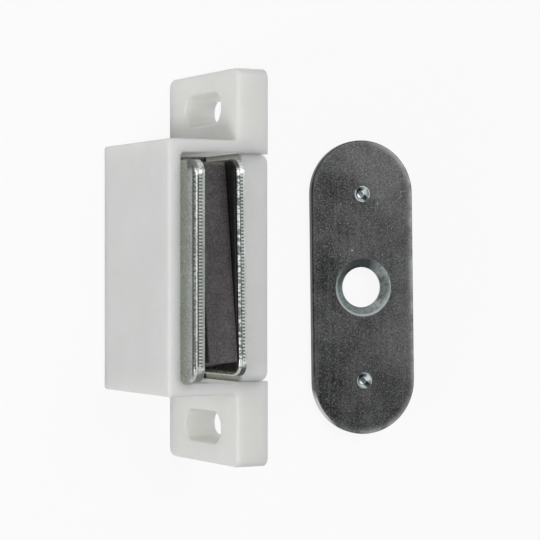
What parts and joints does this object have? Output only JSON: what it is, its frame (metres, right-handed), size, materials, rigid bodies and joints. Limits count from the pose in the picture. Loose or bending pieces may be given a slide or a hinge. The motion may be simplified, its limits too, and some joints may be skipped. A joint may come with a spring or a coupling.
{
  "type": "magnetic catch",
  "caption": "Screw-on magnetic door catch: moulded body with slotted ears, floating magnet between toothed steel pole plates, and a loose countersunk strike plate.",
  "frame": {"origin": "centre of the body's mounting face, on the plane that is screwed to the cabinet side", "axes": "+X is the outward normal of the mounting face, Y runs along the body from ear to ear, +Z points out of the mouth towards the door"},
  "size_m": [0.0456, 0.05, 0.023],
  "materials": {
    "white_plastic": "satin moulded white plastic",
    "zinc_steel": "clear zinc plating over punched steel",
    "ferrite": "sintered ferrite, matt dark grey-brown",
    "strike_steel": "dark satin rolled steel, lightly oiled"
  },
  "bodies": {
    "catch_body": {"housing": "white_plastic", "base_cover": "white_plastic", "strike_plate": "strike_steel"},
    "magnet_pack": {"outer_pole_plate": "zinc_steel", "inner_pole_plate": "zinc_steel", "magnet": "ferrite"}
  },
  "joints": [
    {"name": "pack_float", "type": "slide", "parent": "catch_body", "child": "magnet_pack", "axis": [0, 0, 1], "range_m": [0, 0.0008]}
  ]
}
